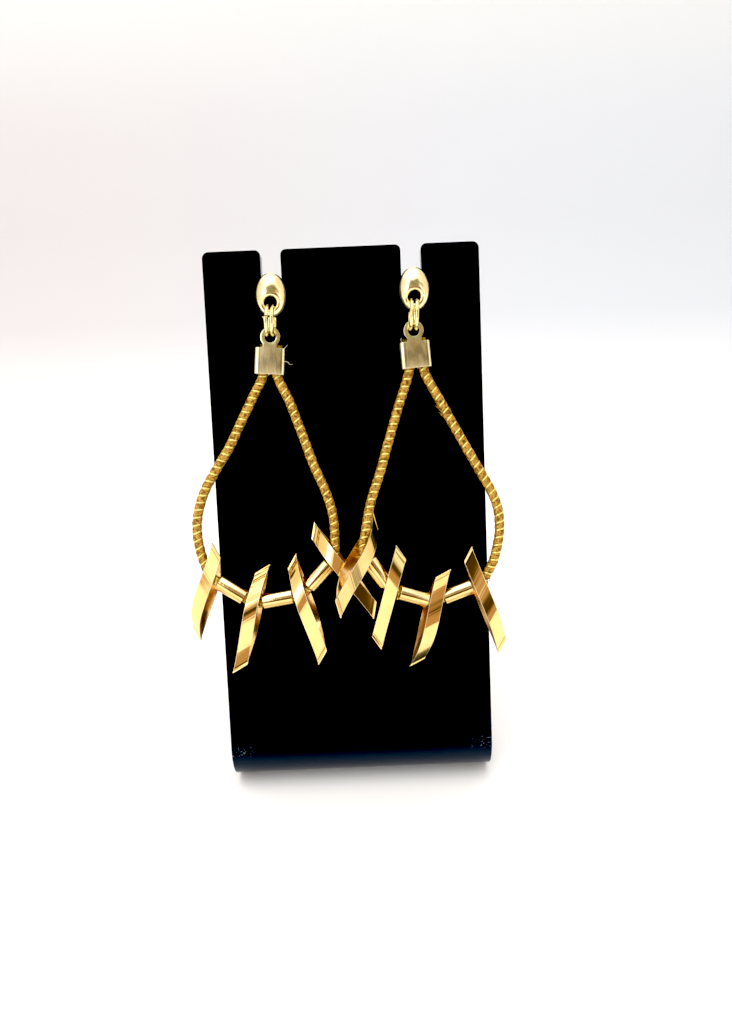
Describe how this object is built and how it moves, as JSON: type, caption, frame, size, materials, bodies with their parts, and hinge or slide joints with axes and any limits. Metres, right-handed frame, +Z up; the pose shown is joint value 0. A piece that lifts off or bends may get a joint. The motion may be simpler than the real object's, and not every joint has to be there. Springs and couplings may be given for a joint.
{
  "type": "pair of dangle earrings on a display stand",
  "caption": "Leaning black display stand with a slotted top edge holding dangle earrings: oval studs, jump rings, folded clamps and cord loops strung with tube and folded fin beads.",
  "frame": {"origin": "middle of the stand's flat underside, where it rests", "axes": "+Z up, +X to the viewer's right, -Y towards the front that the earrings hang on"},
  "size_m": [0.071, 0.055, 0.1183],
  "materials": {
    "black_acrylic": "high gloss black",
    "champagne_gold": "pale polished plating",
    "satin_gold": "pale satin plating",
    "yellow_gold": "mirror polished yellow plating",
    "grass_cord": "bundled dry stems wound with fine gold thread"
  },
  "bodies": {
    "root": {"display_stand": "black_acrylic", "left_ear_stud": "champagne_gold", "left_ear_back": "champagne_gold", "left_jump_ring_1": "champagne_gold", "left_jump_ring_2": "champagne_gold", "left_cord_clamp": "satin_gold", "left_cord_loop": "grass_cord", "left_tube_bead_1": "yellow_gold", "left_tube_bead_2": "yellow_gold", "left_tube_bead_3": "yellow_gold", "left_fin_bead_1": "yellow_gold", "left_fin_bead_2": "yellow_gold", "left_fin_bead_3": "yellow_gold", "left_fin_bead_4": "yellow_gold", "right_ear_stud": "champagne_gold", "right_ear_back": "champagne_gold", "right_jump_ring_1": "champagne_gold", "right_jump_ring_2": "champagne_gold", "right_cord_clamp": "satin_gold", "right_cord_loop": "grass_cord", "right_tube_bead_1": "yellow_gold", "right_tube_bead_2": "yellow_gold", "right_tube_bead_3": "yellow_gold", "right_fin_bead_1": "yellow_gold", "right_fin_bead_2": "yellow_gold", "right_fin_bead_3": "yellow_gold", "right_fin_bead_4": "yellow_gold"}
  },
  "joints": []
}
